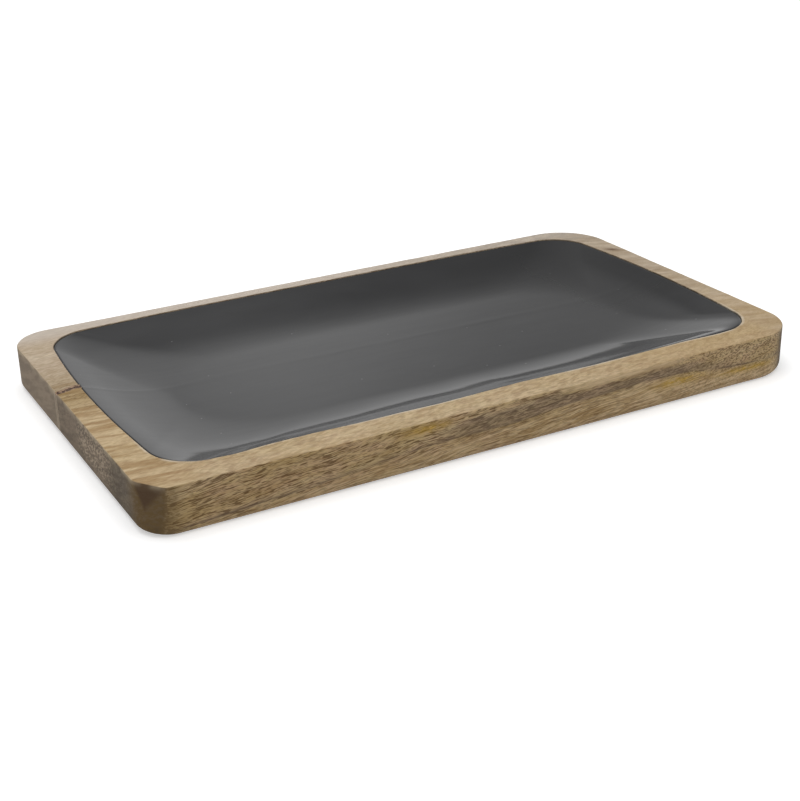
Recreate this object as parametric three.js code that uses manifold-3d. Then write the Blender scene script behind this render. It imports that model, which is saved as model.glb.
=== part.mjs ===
// A wooden serving board: two planks glued edge to edge, with a shallow dish carved
// into the top of the blank and lined with dark enamel.
// Millimetres, +Z up. The origin is the middle of the underside, +X runs along the
// board and +Y towards its back edge.

import * as THREE from "three";
import { mergeVertices } from "three/addons/utils/BufferGeometryUtils.js";
import Module from "manifold-3d";

// The blank
const LENGTH = 380;
const WIDTH = 216;
const HEIGHT = 25;
const BACK_LEFT_RADIUS = 21;
const BACK_RIGHT_RADIUS = 31;
const FRONT_RIGHT_RADIUS = 28;
const FRONT_LEFT_RADIUS = 16;
const UNDERSIDE_ROUND_AT_ENDS = 5.2;
const UNDERSIDE_ROUND_AT_SIDES = 3;
const UNDERSIDE_ROUND_HEIGHT = 4.5;
const TOP_EASE = 0.8;

// The front left corner is sanded to a flat facet at the top and runs out to a round below.
const FACET_ALONG_FRONT = 10.3;
const FACET_ALONG_END = 14;

// The dish. A rim's width is measured at the middle of its side, and the bow is how
// much wider the rim gets towards its two corners. The higher the power, the straighter
// the rim's middle. The wall slopes straight down from the lip and ends in a round that
// meets the flat floor smoothly. Along the back it is one long hollow sweep instead. The
// growth is how much larger the corners' radius gets per millimetre inside the lip.
const RIM_LEFT = 12.9;
const RIM_RIGHT = 12.2;
const RIM_FRONT = 16.8;
const RIM_BACK = 8.3;
const END_RIM_BOW = 6;
const FRONT_RIM_BOW = 1.5;
const BACK_RIM_BOW = 4;
const END_BOW_POWER = 2;
const SIDE_BOW_POWER = 4;
const DISH_CORNER_RADIUS = 20;
const DISH_CORNER_GROWTH = 0.4;
const DISH_DEPTH = 10.5;
const WALL_SLOPE_DEGREES = 20;
const FLOOR_ROUND_RADIUS = 100;
const BACK_SWEEP_RUN = 56;

// The enamel lining
const ENAMEL_THICKNESS = 1;
const ENAMEL_CLEARANCE = 0.3;
const ENAMEL_BELOW_RIM = 0.3;

// The glued joint, which crosses the board a little askew
const JOINT_Y = 15.8;
const JOINT_SKEW_DEGREES = -1.41;
const GLUE_THICKNESS = 0.3;
const GLUE_CLEARANCE = 0.05;

// The ragged filler where the joint crosses the left rim. Each point of its line is a
// share of the way from the board's end to the lip and an offset from the joint. The line
// starts and stops a little past the rim.
const FILLER_LINE = [
  [-0.1, -1.5],
  [0.3, -0.7],
  [0.58, 1],
  [0.82, 1.9],
  [1.1, 0.4],
];
const FILLER_WIDTH = 4.5;
const FILLER_DEPTH = 1.5;
const FILLER_BELOW_RIM = 0.1;
const FILLER_CLEARANCE = 0.05;

// How much of the dish's half width a corner may take up
const LARGEST_CORNER_SHARE = 0.9;

// How finely round stretches are cut up, and how far a cutter reaches past what it cuts
const CORNER_STEPS = 8;
const BOW_STEPS = 8;
const ROUND_STEPS = 4;
const EASE_STEPS = 2;
const SWEEP_STEPS = 9;
const CUTTER_REACH = 10;

// How far the dish's straight slope and its round reach in from the lip
const WALL_SLOPE = THREE.MathUtils.degToRad(WALL_SLOPE_DEGREES);
const ROUND_RUN = FLOOR_ROUND_RADIUS * Math.sin(WALL_SLOPE);
const ROUND_RISE = FLOOR_ROUND_RADIUS * (1 - Math.cos(WALL_SLOPE));
const SLOPE_RUN = (DISH_DEPTH - ENAMEL_BELOW_RIM - ROUND_RISE) / Math.tan(WALL_SLOPE);
const SWEEP_RUN = SLOPE_RUN + ROUND_RUN;

const QUARTER_TURN = Math.PI / 2;
const wasm = await Module();
wasm.setup();

// Evenly spaced shares from 0 to 1, both ends included
function shares(steps) {
  return Array.from({ length: steps + 1 }, (_, i) => i / steps);
}

// The points of a quarter ellipse, counter-clockwise from a starting angle
function cornerArc(centre, radiusX, radiusY, startAngle) {
  return shares(CORNER_STEPS).map((share) => {
    const angle = startAngle + share * QUARTER_TURN;
    return new THREE.Vector2(
      centre.x + radiusX * Math.cos(angle),
      centre.y + radiusY * Math.sin(angle),
    );
  });
}

// The blank's four round corners, counter-clockwise from the front right, with its ends
// and its sides moved inwards
function roundCorners(insetAtEnds, insetAtSides) {
  const corner = (signX, signY, radius, startAngle) => {
    const centre = new THREE.Vector2(
      signX * (LENGTH / 2 - radius),
      signY * (WIDTH / 2 - radius),
    );
    return cornerArc(centre, radius - insetAtEnds, radius - insetAtSides, startAngle);
  };
  return [
    corner(1, -1, FRONT_RIGHT_RADIUS, -QUARTER_TURN),
    corner(1, 1, BACK_RIGHT_RADIUS, 0),
    corner(-1, 1, BACK_LEFT_RADIUS, QUARTER_TURN),
    corner(-1, -1, FRONT_LEFT_RADIUS, 2 * QUARTER_TURN),
  ];
}

// The straight facet of the front left corner, moved inwards by an inset
function cornerFacet(inset) {
  const steepness = Math.hypot(1 / FACET_ALONG_FRONT, 1 / FACET_ALONG_END);
  const shrink = 1 - inset * (1 / FACET_ALONG_FRONT + 1 / FACET_ALONG_END - steepness);
  const corner = new THREE.Vector2(-LENGTH / 2 + inset, -WIDTH / 2 + inset);
  const onEnd = new THREE.Vector2(corner.x, corner.y + FACET_ALONG_END * shrink);
  const onFront = new THREE.Vector2(corner.x + FACET_ALONG_FRONT * shrink, corner.y);
  return shares(CORNER_STEPS).map((share) => onEnd.clone().lerp(onFront, share));
}

// How far the enamel's surface lies below the rim at a distance inside the lip
function enamelDepth(inset) {
  if (inset < SLOPE_RUN) {
    return ENAMEL_BELOW_RIM + inset * Math.tan(WALL_SLOPE);
  }
  const toFloor = SWEEP_RUN - inset;
  return DISH_DEPTH - FLOOR_ROUND_RADIUS + Math.sqrt(FLOOR_ROUND_RADIUS ** 2 - toFloor ** 2);
}

// How far in the back's long sweep reaches the depth that the wall has at an inset
function backInset(inset) {
  const rise = Math.max(DISH_DEPTH - enamelDepth(inset), 0);
  return BACK_SWEEP_RUN * (1 - Math.sqrt(rise / (DISH_DEPTH - ENAMEL_BELOW_RIM)));
}

// The plan of the dish at a distance inside its lip: a rounded rectangle with bowed sides,
// counter-clockwise from the front right.
function dishOutline(inset) {
  const left = -LENGTH / 2 + RIM_LEFT + inset;
  const right = LENGTH / 2 - RIM_RIGHT - inset;
  const front = -WIDTH / 2 + RIM_FRONT + inset;
  const back = WIDTH / 2 - RIM_BACK - backInset(inset);
  const halfLength = (right - left) / 2;
  const halfWidth = (back - front) / 2;
  const radius = Math.min(
    DISH_CORNER_RADIUS + inset * DISH_CORNER_GROWTH,
    LARGEST_CORNER_SHARE * Math.min(halfLength, halfWidth),
  );
  const signs = [[1, -1], [1, 1], [-1, 1], [-1, -1]];
  const corners = signs.map(([signX, signY], i) => {
    const centre = new THREE.Vector2(signX * (halfLength - radius), signY * (halfWidth - radius));
    return cornerArc(centre, radius, radius, (i - 1) * QUARTER_TURN);
  });
  const points = corners.flatMap((corner, i) => {
    const next = corners[(i + 1) % corners.length][0];
    const side = shares(BOW_STEPS).slice(1, -1);
    return [...corner, ...side.map((share) => corner.at(-1).clone().lerp(next, share))];
  });
  return points.map((point) => {
    const u = point.x / halfLength;
    const v = point.y / halfWidth;
    const sideBow = v < 0 ? FRONT_RIM_BOW : BACK_RIM_BOW;
    return new THREE.Vector2(
      (left + right) / 2 + point.x - END_RIM_BOW * u * Math.abs(v) ** END_BOW_POWER,
      (front + back) / 2 + point.y - sideBow * v * Math.abs(u) ** SIDE_BOW_POWER,
    );
  });
}

function atHeight(outline, z) {
  return outline.map((point) => new THREE.Vector3(point.x, point.y, z));
}

// One ring of the dish for each step of its sweep, from the floor out to the lip
function dishRings(lipInset, extraDepth) {
  return shares(SWEEP_STEPS).map((share) => {
    const inset = THREE.MathUtils.lerp(SWEEP_RUN, lipInset, share);
    return atHeight(dishOutline(inset), HEIGHT - enamelDepth(inset) - extraDepth);
  });
}

// A closed skin over a stack of rings with as many points each, closed by a fan at both
// ends. The first fan faces down and the last one up.
function loft(rings) {
  const count = rings[0].length;
  const corners = [];
  const fan = (ring, flip) => {
    const middle = new THREE.Vector3();
    ring.forEach((point) => middle.addScaledVector(point, 1 / count));
    ring.forEach((point, i) => {
      const next = ring[(i + 1) % count];
      corners.push(middle, ...(flip ? [next, point] : [point, next]));
    });
  };
  fan(rings[0], true);
  for (let row = 1; row < rings.length; row += 1) {
    const below = rings[row - 1];
    const above = rings[row];
    for (let i = 0; i < count; i += 1) {
      const next = (i + 1) % count;
      corners.push(below[i], below[next], above[next], below[i], above[next], above[i]);
    }
  }
  fan(rings.at(-1), false);
  return new THREE.BufferGeometry().setFromPoints(corners);
}

// A boolean solid from a closed geometry
function solidFrom(geometry) {
  const bare = geometry.clone();
  bare.deleteAttribute("normal");
  bare.deleteAttribute("uv");
  const merged = mergeVertices(bare);
  return new wasm.Manifold(
    new wasm.Mesh({
      numProp: 3,
      vertProperties: new Float32Array(merged.attributes.position.array),
      triVerts: new Uint32Array(merged.index.array),
    }),
  );
}

// A geometry from a boolean solid
function geometryFrom(solid) {
  const mesh = solid.getMesh();
  const geometry = new THREE.BufferGeometry();
  geometry.setAttribute("position", new THREE.BufferAttribute(mesh.vertProperties, 3));
  geometry.setIndex(new THREE.BufferAttribute(mesh.triVerts, 1));
  geometry.computeVertexNormals();
  return geometry;
}

// The whole blank, rounded along the underside and eased along the top
function makeBlank() {
  const underside = shares(ROUND_STEPS).map((share) => {
    const angle = share * QUARTER_TURN;
    const insetShare = 1 - Math.sin(angle);
    const corners = roundCorners(
      UNDERSIDE_ROUND_AT_ENDS * insetShare,
      UNDERSIDE_ROUND_AT_SIDES * insetShare,
    );
    return atHeight(corners.flat(), UNDERSIDE_ROUND_HEIGHT * (1 - Math.cos(angle)));
  });
  const top = shares(EASE_STEPS).map((share) => {
    const angle = share * QUARTER_TURN;
    const inset = TOP_EASE * (1 - Math.cos(angle));
    const corners = [...roundCorners(inset, inset).slice(0, -1), cornerFacet(inset)];
    return atHeight(corners.flat(), HEIGHT - TOP_EASE * (1 - Math.sin(angle)));
  });
  return solidFrom(loft([...underside, ...top]));
}

// What the dish takes out of the wood: room for the enamel and its clearance
function makeDishCutter() {
  const mouth = atHeight(dishOutline(0), HEIGHT + CUTTER_REACH);
  return solidFrom(loft([...dishRings(0, ENAMEL_THICKNESS + ENAMEL_CLEARANCE), mouth]));
}

// The enamel coat, from the underside of its floor round the lip to its upper face
function makeEnamel() {
  const under = dishRings(ENAMEL_CLEARANCE, ENAMEL_THICKNESS);
  const upper = dishRings(ENAMEL_CLEARANCE, 0).reverse();
  return loft([...under, ...upper]);
}

// A slab of space along the joint, between two distances from its middle plane
function jointSlab(nearest, farthest) {
  const slab = new THREE.BoxGeometry(2 * LENGTH, farthest - nearest, HEIGHT + 2 * CUTTER_REACH);
  slab.translate(0, (nearest + farthest) / 2, HEIGHT / 2);
  slab.rotateZ(THREE.MathUtils.degToRad(JOINT_SKEW_DEGREES));
  slab.translate(0, JOINT_Y, 0);
  return solidFrom(slab);
}

// The ragged filler line as a prism of a given width between two heights
function fillerPrism(width, bottom, top) {
  const slope = Math.tan(THREE.MathUtils.degToRad(JOINT_SKEW_DEGREES));
  const edge = (shift) =>
    FILLER_LINE.map(([rimShare, offset]) => {
      const x = -LENGTH / 2 + rimShare * RIM_LEFT;
      return new THREE.Vector2(x, JOINT_Y + slope * x + offset + shift);
    });
  const outline = new THREE.Shape([...edge(-width / 2), ...edge(width / 2).reverse()]);
  const prism = new THREE.ExtrudeGeometry(outline, { depth: top - bottom, bevelEnabled: false });
  prism.translate(0, 0, bottom);
  return solidFrom(prism);
}

const board = makeBlank().subtract(makeDishCutter());
const fillerGroove = fillerPrism(
  FILLER_WIDTH + 2 * FILLER_CLEARANCE,
  HEIGHT - FILLER_DEPTH - FILLER_CLEARANCE,
  HEIGHT + CUTTER_REACH,
);
const grooved = board.subtract(fillerGroove);
const staveGap = GLUE_THICKNESS / 2 + GLUE_CLEARANCE;
const backStave = grooved.intersect(jointSlab(staveGap, 2 * WIDTH));
const frontStave = grooved.intersect(jointSlab(-2 * WIDTH, -staveGap));
const glueLine = grooved.intersect(jointSlab(-GLUE_THICKNESS / 2, GLUE_THICKNESS / 2));
const filler = board.intersect(
  fillerPrism(FILLER_WIDTH, HEIGHT - FILLER_DEPTH, HEIGHT - FILLER_BELOW_RIM),
);

const servingBoard = new THREE.Group();

function addPiece(name, geometry, color, roughness) {
  const material = new THREE.MeshStandardMaterial({ color, roughness, metalness: 0 });
  const piece = new THREE.Mesh(geometry, material);
  piece.name = name;
  servingBoard.add(piece);
}

addPiece("back_stave", geometryFrom(backStave), 0xa98f6f, 0.55);
addPiece("front_stave", geometryFrom(frontStave), 0xa5855a, 0.55);
addPiece("glue_line", geometryFrom(glueLine), 0xc9b48f, 0.5);
addPiece("enamel_lining", makeEnamel(), 0x4b4c4d, 0.18);
addPiece("seam_filler", geometryFrom(filler), 0x3d2a1e, 0.6);

export default servingBoard;
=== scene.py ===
# The looks of a wooden serving board: two glued planks, carved into a shallow dish that is
# lined with dark enamel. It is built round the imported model, in its frame: +X along the
# board, +Y towards its back edge, +Z up, with the origin in the middle of the underside.
# Shapes are worked out in millimetres, and their meshes are made in metres.

import math

import bmesh
import bpy
import numpy as np
from mathutils import Matrix, Vector, noise


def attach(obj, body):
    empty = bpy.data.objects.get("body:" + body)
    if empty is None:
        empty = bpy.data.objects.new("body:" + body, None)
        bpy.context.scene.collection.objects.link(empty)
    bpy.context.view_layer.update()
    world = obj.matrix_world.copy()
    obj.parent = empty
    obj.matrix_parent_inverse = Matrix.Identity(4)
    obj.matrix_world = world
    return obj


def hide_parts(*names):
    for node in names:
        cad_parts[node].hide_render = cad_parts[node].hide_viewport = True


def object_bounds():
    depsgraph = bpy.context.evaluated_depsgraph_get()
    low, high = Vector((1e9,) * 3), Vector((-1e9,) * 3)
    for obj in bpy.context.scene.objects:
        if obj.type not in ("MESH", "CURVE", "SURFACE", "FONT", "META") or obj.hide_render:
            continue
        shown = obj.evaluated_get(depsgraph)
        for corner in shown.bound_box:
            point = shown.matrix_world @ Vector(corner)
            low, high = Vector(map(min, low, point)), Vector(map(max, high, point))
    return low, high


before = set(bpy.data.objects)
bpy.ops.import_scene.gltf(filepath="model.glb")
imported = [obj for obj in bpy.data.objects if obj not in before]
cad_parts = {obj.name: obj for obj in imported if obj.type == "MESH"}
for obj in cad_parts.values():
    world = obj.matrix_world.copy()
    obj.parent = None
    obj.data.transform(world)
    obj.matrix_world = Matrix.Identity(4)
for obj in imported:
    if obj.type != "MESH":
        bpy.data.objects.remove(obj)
cad_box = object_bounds()

MM = 0.001
QUARTER_TURN = math.pi / 2

# The signs of x and y at the corners, counter-clockwise from the front right one
CORNER_SIGNS = ((1, -1), (1, 1), (-1, 1), (-1, -1))

# The blank
LENGTH, WIDTH, HEIGHT = ((high - low) / MM for low, high in zip(*cad_box))
FRONT_RIGHT_RADIUS = 28
BACK_RIGHT_RADIUS = 31
BACK_LEFT_RADIUS = 21
FRONT_LEFT_RADIUS = 16
UNDERSIDE_ROUND_AT_ENDS = 5.2
UNDERSIDE_ROUND_AT_SIDES = 3
UNDERSIDE_ROUND_HEIGHT = 4.5
TOP_EASE = 0.8
TOP_EASE_VARIATION = 0.35
TOP_EASE_WAVE_LENGTH = 9

# The facet sanded across the front left corner, how far each end of it is softened, and its
# dark stain: the place of the stain's tip across the facet, and how far down that lies
FACET_ALONG_FRONT = 10.3
FACET_ALONG_END = 14
FACET_SOFT_AT_END = 3
FACET_SOFT_AT_FRONT = 2.5
FACET_WIDTH = math.hypot(FACET_ALONG_FRONT, FACET_ALONG_END)
FACET_TIP = 0.35
FACET_STAIN_DEPTH = 12

# The dish, with the rims' widths at the middle of each side
RIM_LEFT = 12.9
RIM_RIGHT = 12.2
RIM_FRONT = 16.8
RIM_BACK = 8.3
END_RIM_BOW = 6
FRONT_RIM_BOW = 1.5
BACK_RIM_BOW = 4
END_BOW_POWER = 2
SIDE_BOW_POWER = 4
DISH_CORNER_RADIUS = 20
DISH_CORNER_GROWTH = 0.4
DISH_DEPTH = 10.5
WALL_SLOPE = math.radians(20)
FLOOR_ROUND_RADIUS = 100
BACK_SWEEP_RUN = 56
LIP_ROUND = 0.4

# The enamel: its coat, its rounded edge and the unevenness that the brush left in it
ENAMEL_THICKNESS = 1
ENAMEL_CLEARANCE = 0.3
ENAMEL_BELOW_RIM = 0.3
ENAMEL_EDGE_GAP = 0.05
ENAMEL_EDGE_DROP = 0.45
ENAMEL_EDGE_RUN = 0.5
WALL_WAVE = 0.2
WALL_WAVE_LENGTH = 85
FLOOR_WAVE = 0.05
FLOOR_WAVE_LENGTH = 55
RIDGE_HEIGHT = 0.03
RIDGE_VARIATION = 0.5
RIDGE_WAVE_LENGTH = 25
RIDGE_WIDTH = 2.2

# Distances from the lip where the waves on the wall, the waves on the floor and the ridge
# start or end
WALL_WAVE_FULL = 8
WALL_WAVE_FADES = 15
FLOOR_WAVE_STARTS = 10
RIDGE_RISE = (0.3, 2)

# How far the enamel swells where it rolls over towards the lip: at places along the front,
# which the brush left uneven, and along the left end. The front's swells blend into each
# other, and a swell grows to its full height over a short run from the lip. A side's swell
# starts and is full where the lip faces that side by these shares.
FRONT_ROLL_PLACES = (
    -166, -137, -126, -100, -83, -68, -43, -17, 0, 14, 28, 55, 75, 95, 112, 126, 138, 150, 162,
)
FRONT_ROLLS = (
    -0.1, -0.65, -0.4, -0.15, -0.1, 0.2, 0.4, 0.1, 0.35,
    0.4, 0.1, 0.1, 0.3, 0.62, 0.9, 1.15, 1.4, 1.7, 1.5,
)
ROLL_BLEND = 7
ROLL_BLEND_STEPS = 9
LEFT_ROLL = 0.6
ROLL_RUN = 3
ROLL_FACING = (0.3, 0.9)

# The dish's wall: a straight slope below the lip, then a round that ends on the flat floor
ROUND_RUN = FLOOR_ROUND_RADIUS * math.sin(WALL_SLOPE)
ROUND_RISE = FLOOR_ROUND_RADIUS * (1 - math.cos(WALL_SLOPE))
SLOPE_RUN = (DISH_DEPTH - ENAMEL_BELOW_RIM - ROUND_RISE) / math.tan(WALL_SLOPE)
SWEEP_RUN = SLOPE_RUN + ROUND_RUN

# The glued joint
JOINT_Y = 15.8
JOINT_SKEW = math.radians(-1.41)
GLUE_THICKNESS = 0.3

# The ragged filler in the joint where it crosses the left rim: shares of the way from the
# board's end to the lip, how far the filler lies from the joint there, and how much of its
# full width it has. Its edges' rags have a share of that width, a length and a seed each.
# The groove starts with a share of its depth at the board's end, and deepens over a run.
FILLER_SHARES = (0, 0.3, 0.58, 0.82, 1.1)
FILLER_OFFSETS = (-2.3, -1.4, -0.2, 0.8, 0.6)
FILLER_SPREADS = (0.85, 0.85, 0.9, 1, 1)
FILLER_END_SHARE = 1.06
FILLER_WIDTH = 4.5
FILLER_LEAST_SPREAD = 0.15
FILLER_RAGS = ((0.4, 1.9, 0), (0.3, 0.8, 3))
FILLER_DEPTH = 1.5
FILLER_END_DEPTH = 0.35
FILLER_DEPTH_RUN = 0.3
FILLER_SINK = 0.12
FILLER_LUMPS = 0.35
FILLER_LUMP_LENGTH = 0.9
FILLER_RUN_OUT = 0.4
GROOVE_CLEARANCE = 0.02
GROOVE_OVERRUN = 2
GROOVE_OVERHEAD = 3

# Hand work: how far the walls, the rim's top and the lip stray from true, over what lengths
# (the lip's wobbles with their seeds), and how far into the dish the wobbles are felt
WALL_UNEVENNESS = 0.12
WALL_UNEVENNESS_LENGTH = 46
RIM_UNEVENNESS = 0.06
RIM_UNEVENNESS_LENGTH = 30
LIP_WOBBLES = ((0.14, 24, 3), (0.06, 7, 8))
LIP_WOBBLE_RUN = 5

# How much the rings beside the top edge take of the pale edge, partly wear and partly painted
# highlight, and how much the ring beside the lip takes of the lip's painted highlight
WEAR_AND_HIGHLIGHT_BELOW_EDGE = 0.25
WEAR_AND_HIGHLIGHT_ABOVE_EDGE = 0.35
HIGHLIGHT_BESIDE_LIP = 0.7

# How far in front of the middle the front lip starts and is complete, and how far out it was
# carved at places along it
FRONT_LIP = (40, 80)
LIP_PLACES = (-166, -150, -140, -122, -100, -76, -56, -34, -10, 16, 40, 60, 90, 122, 144, 160)
LIP_SHIFTS = (0.2, 0.8, 1.5, -0.3, -0.5, 0.4, 0.1, 0.8, 0.1, -0.6, -0.1, 0.3, -0.2, -0.8, 0.5, -0.4)

# How finely the meshes are cut up, and from which angle on their edges show as sharp
SHARP_EDGE = math.radians(40)
BEND_POINTS = 8
FACET_POINTS = 9
CORNER_POINTS = 2 * BEND_POINTS + FACET_POINTS
END_POINTS = 100
LONG_POINTS = 190
FOOT_RINGS = 9
WALL_RINGS = 14
EASE_RINGS = 6
LIP_RINGS = 5
RECESS_RINGS = 10
SWEEP_RINGS = 48
SWEEP_CROWDING = 1.6
FLOOR_RINGS = 40
FILLER_STEPS = 60
FILLER_POINTS = 8
RIM_SHARES = (0.05, 0.12, 0.25, 0.4, 0.55, 0.7, 0.85, 0.93, 0.97)
CUT_TOLERANCE = 1e-9

# Colours, as red, green and blue from 0 to 255
PALE_FRONT_WOOD = (220, 196, 154)
FRONT_WOOD = (202, 173, 126)
DARK_FRONT_WOOD = (150, 114, 66)
TINTED_FRONT_WOOD = (188, 162, 106)
BLUSHED_FRONT_WOOD = (206, 172, 140)
FRONT_VESSELS = (84, 56, 26)
FRONT_SHADES = (
    PALE_FRONT_WOOD, FRONT_WOOD, DARK_FRONT_WOOD,
    TINTED_FRONT_WOOD, BLUSHED_FRONT_WOOD, FRONT_VESSELS,
)
PALE_BACK_WOOD = (212, 195, 172)
BACK_WOOD = (200, 180, 155)
DARK_BACK_WOOD = (160, 136, 106)
TINTED_BACK_WOOD = (190, 170, 138)
BLUSHED_BACK_WOOD = (200, 174, 154)
BACK_VESSELS = (120, 94, 66)
BACK_SHADES = (
    PALE_BACK_WOOD, BACK_WOOD, DARK_BACK_WOOD,
    TINTED_BACK_WOOD, BLUSHED_BACK_WOOD, BACK_VESSELS,
)
GOLDEN_WOOD = (178, 146, 94)
LOWER_WOOD = (222, 196, 156)
RIGHT_RIM_WOOD = (178, 162, 140)
# A painted sheen along the far back rim, pale and greyish
PAINTED_SHEEN_BACK_RIM = (212, 203, 194)
GREY_RIM_WOOD = (150, 143, 134)
YELLOW_WOOD = (204, 164, 66)
OLIVE_VESSELS = (104, 78, 32)
HEART_WOOD = (150, 130, 108)
HEART_LINE = (74, 56, 42)
KNOT_WOOD = (92, 62, 40)
BACK_END_GRAIN = (148, 132, 114)
FRONT_END_GRAIN = (118, 104, 90)
DARK_END_GRAIN = (86, 77, 66)
CORNER_END_GRAIN = (80, 65, 48)
PALE_SPECKS = (182, 164, 142)
FACET_WOOD = (86, 66, 48)
FACET_OLIVE = (112, 90, 56)
OLIVE_WOOD = (142, 116, 72)
# Pale wear, also used as a painted highlight along the ends' top edges
WEAR_AND_HIGHLIGHT_WOOD = (226, 208, 176)
# A painted highlight along the front lip
PAINTED_LIP_HIGHLIGHT = (220, 208, 188)
# A painted sheen: the pale wash laid over the planks' tops
PAINTED_SHEEN_WOOD = (205, 190, 166)
GLUE = (196, 176, 142)
FILLER = (78, 58, 48)
PALE_FILLER = (172, 144, 120)
ENAMEL = (40, 40, 41)
CLOUDED_ENAMEL = (58, 58, 59)
# Painted shade on the enamel towards the back right
PAINTED_SHADE_ENAMEL = (26, 26, 27)
# Pale dust in the enamel, also used as the painted highlight along the joint's ridge
DUST_AND_HIGHLIGHT_ENAMEL = (150, 150, 150)
FLOOR = (232, 232, 232)

# The dark line along the front face, as shares of the board's length and height
FRONT_LINE = (
    (0, 0.1), (0.07, 0.16), (0.24, 0.33), (0.4, 0.5), (0.48, 0.5), (0.55, 0.56),
    (0.65, 0.65), (0.76, 0.68), (0.85, 0.52), (0.92, 0.49), (1, 0.6),
)

# Where zones of the wood and the enamel begin along x, y or z, and where they are complete
CURLY_X = (80, 115)
LEFT_RIM_X = (-152, -174)
RIGHT_RIM_X = (160, 178)
RIGHT_RIM_GREY_Y = (-80, 8)
# Where the painted sheen along the back rim begins and is complete, and where it weakens towards
# the right
BACK_RIM_SHEEN_Y = (84, 103)
BACK_RIM_SHEEN_FADES_X = (-20, 120)
GREY_RIM_X = (0, 130)
GREY_RIM_Y = (70, 90)
GOLDEN_X = (30, 130)
GOLDEN_Y = (-20, -80)
# Where the painted highlight along the front lip begins and is complete
PAINTED_LIP_HIGHLIGHT_Y = (-40, -78)
FRONT_FACE_Y = (-80, -100)
LOWER_PALER_X = (40, 90)
HEART_LEFT_X = (-50, -15)
HEART_THINS_X = (20, 45)
HEART_RIGHT_X = (150, 100)
PALE_TOP_LEFT_X = (20, 50)
PALE_TOP_RIGHT_X = (120, 90)
DARK_END_Y = (-54, -66)
DARK_CORNER_Y = (-84, -100)
SPECKLED_FRONT_Y = (-70, -50)
SPECKLED_BACK_Y = (-8, -22)
SPECKLED_Z = (3, 10)
JOINT_STAIN_X = (-150, -176)
# Where the enamel turns less glossy and takes painted shade towards the back right
MATTE_AND_SHADED_X = (60, 150)
MATTE_AND_SHADED_Y = (-60, 10)
# Where the painted highlight along the joint's ridge begins and is complete
RIDGE_HIGHLIGHT_X = (-105, -165)

# Dust in the enamel: the share of cells of this spacing that hold a speck
DUST_SPACING, DUST_RADIUS = 22, 0.35
DUST_SHARE = 0.22

# The heartwood's thickness at the left, and how much less it is at the right
HEART_THICKNESS = 8
HEART_THINNING = 3.5

# The yellow patches on the front face: x and half length, z and half height of each
YELLOW_PATCHES = ((-48, 12, 21.5, 2.2), (104, 16, 12.5, 2.5), (150, 18, 9.5, 1.8))

# Single marks on the rim: the knot, which lies at 45 degrees, the scratch and the brown mark
# at the joint, with the middle of each and its half sizes
KNOT_X, KNOT_Y = 182.5, 56.4
KNOT_LENGTH, KNOT_WIDTH = 5, 2.4
SCRATCH_X, SCRATCH_Y = -179.5, 69.98
SCRATCH_SLOPE = 0.4
SCRATCH_LENGTH, SCRATCH_WIDTH = 4, 0.35
JOINT_MARK_X, JOINT_MARK_BEHIND = 182, -0.5
JOINT_MARK_LENGTH, JOINT_MARK_WIDTH = 4, 1.2
JOINT_STAIN_BEHIND, JOINT_STAIN_WIDTH = -8, 24

# The floor, in metres, with how far below the board it lies to leave no surface shared
FLOOR_REACH = 8
FLOOR_GAP = 0.0002
FLOOR_GLOW = 0.48
FAR_GLOW = 0.4
FAR_FLOOR = (0.5, 2)

# The lamp, in metres, and the sky
LAMP_SIZE = 1.3
LAMP_PLACE = (-0.1, 0.1, 1.5)
LAMP_POWER = 15
SKY = 0.42
BACKDROP = 1.0

# The room that reflections show: how bright its parts are, and where they begin and are
# complete, as the x and z of a direction of length 1
ROOM = 0.35
HORIZON = 0.44
HORIZON_Z = (0.6, 0.1)
UPPER_GLOW = 0.3
UPPER_Z = (0.64, 0.82)
UPPER_FADE = 0.6
UPPER_FADES_X = (0.35, 0.5)
SIDE_GLOW = 0.4
SIDE_X = (0.56, 0.62)
SIDE_Z = (0.25, 0.12)
PANEL = 0.5
PANEL_LEFT_X = (0.2, 0.36)
PANEL_RIGHT_X = (0.64, 0.46)
PANEL_LEAN = 0.25
PANEL_FOOT = 0.4
PANEL_FOOT_Z = (0.15, 0.42)
PANEL_HEAD_FADE = 0.35
PANEL_HEAD_Z = (0.52, 0.68)

# The camera: where it stands, in metres, and which ways are ahead and down in its picture
CAMERA_PLACE = (-0.35890, -0.65011, 0.31565)
CAMERA_FORWARD = (0.43788, 0.80119, -0.40787)
CAMERA_DOWN = (-0.21181, -0.34897, -0.91288)
CAMERA_LENS = 65.3


def smooth_step(value, low, high):
    share = np.clip((value - low) / (high - low), 0, 1)
    return share * share * (3 - 2 * share)


def ripple(points, wavelength, seed):
    """Smooth unevenness, from about -1 to 1, at each point."""
    shift = Vector((seed, 2.3 * seed, 3.1 * seed))
    return np.array([noise.noise(Vector(point) / wavelength + shift) for point in points])


def ripples(points, waves, seed=0):
    """Several ripples together, with a size, a wavelength and a seed each."""
    return sum(size * ripple(points, length, seed + own) for size, length, own in waves)


def at_height(outline, height):
    return np.column_stack((outline, np.broadcast_to(height, len(outline))))


def joint_distance(points):
    """How far each point lies behind the joint's middle plane."""
    return (points[:, 1] - JOINT_Y) * math.cos(JOINT_SKEW) - points[:, 0] * math.sin(JOINT_SKEW)


# Outlines, which all start at the front right corner and have as many points each

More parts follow.
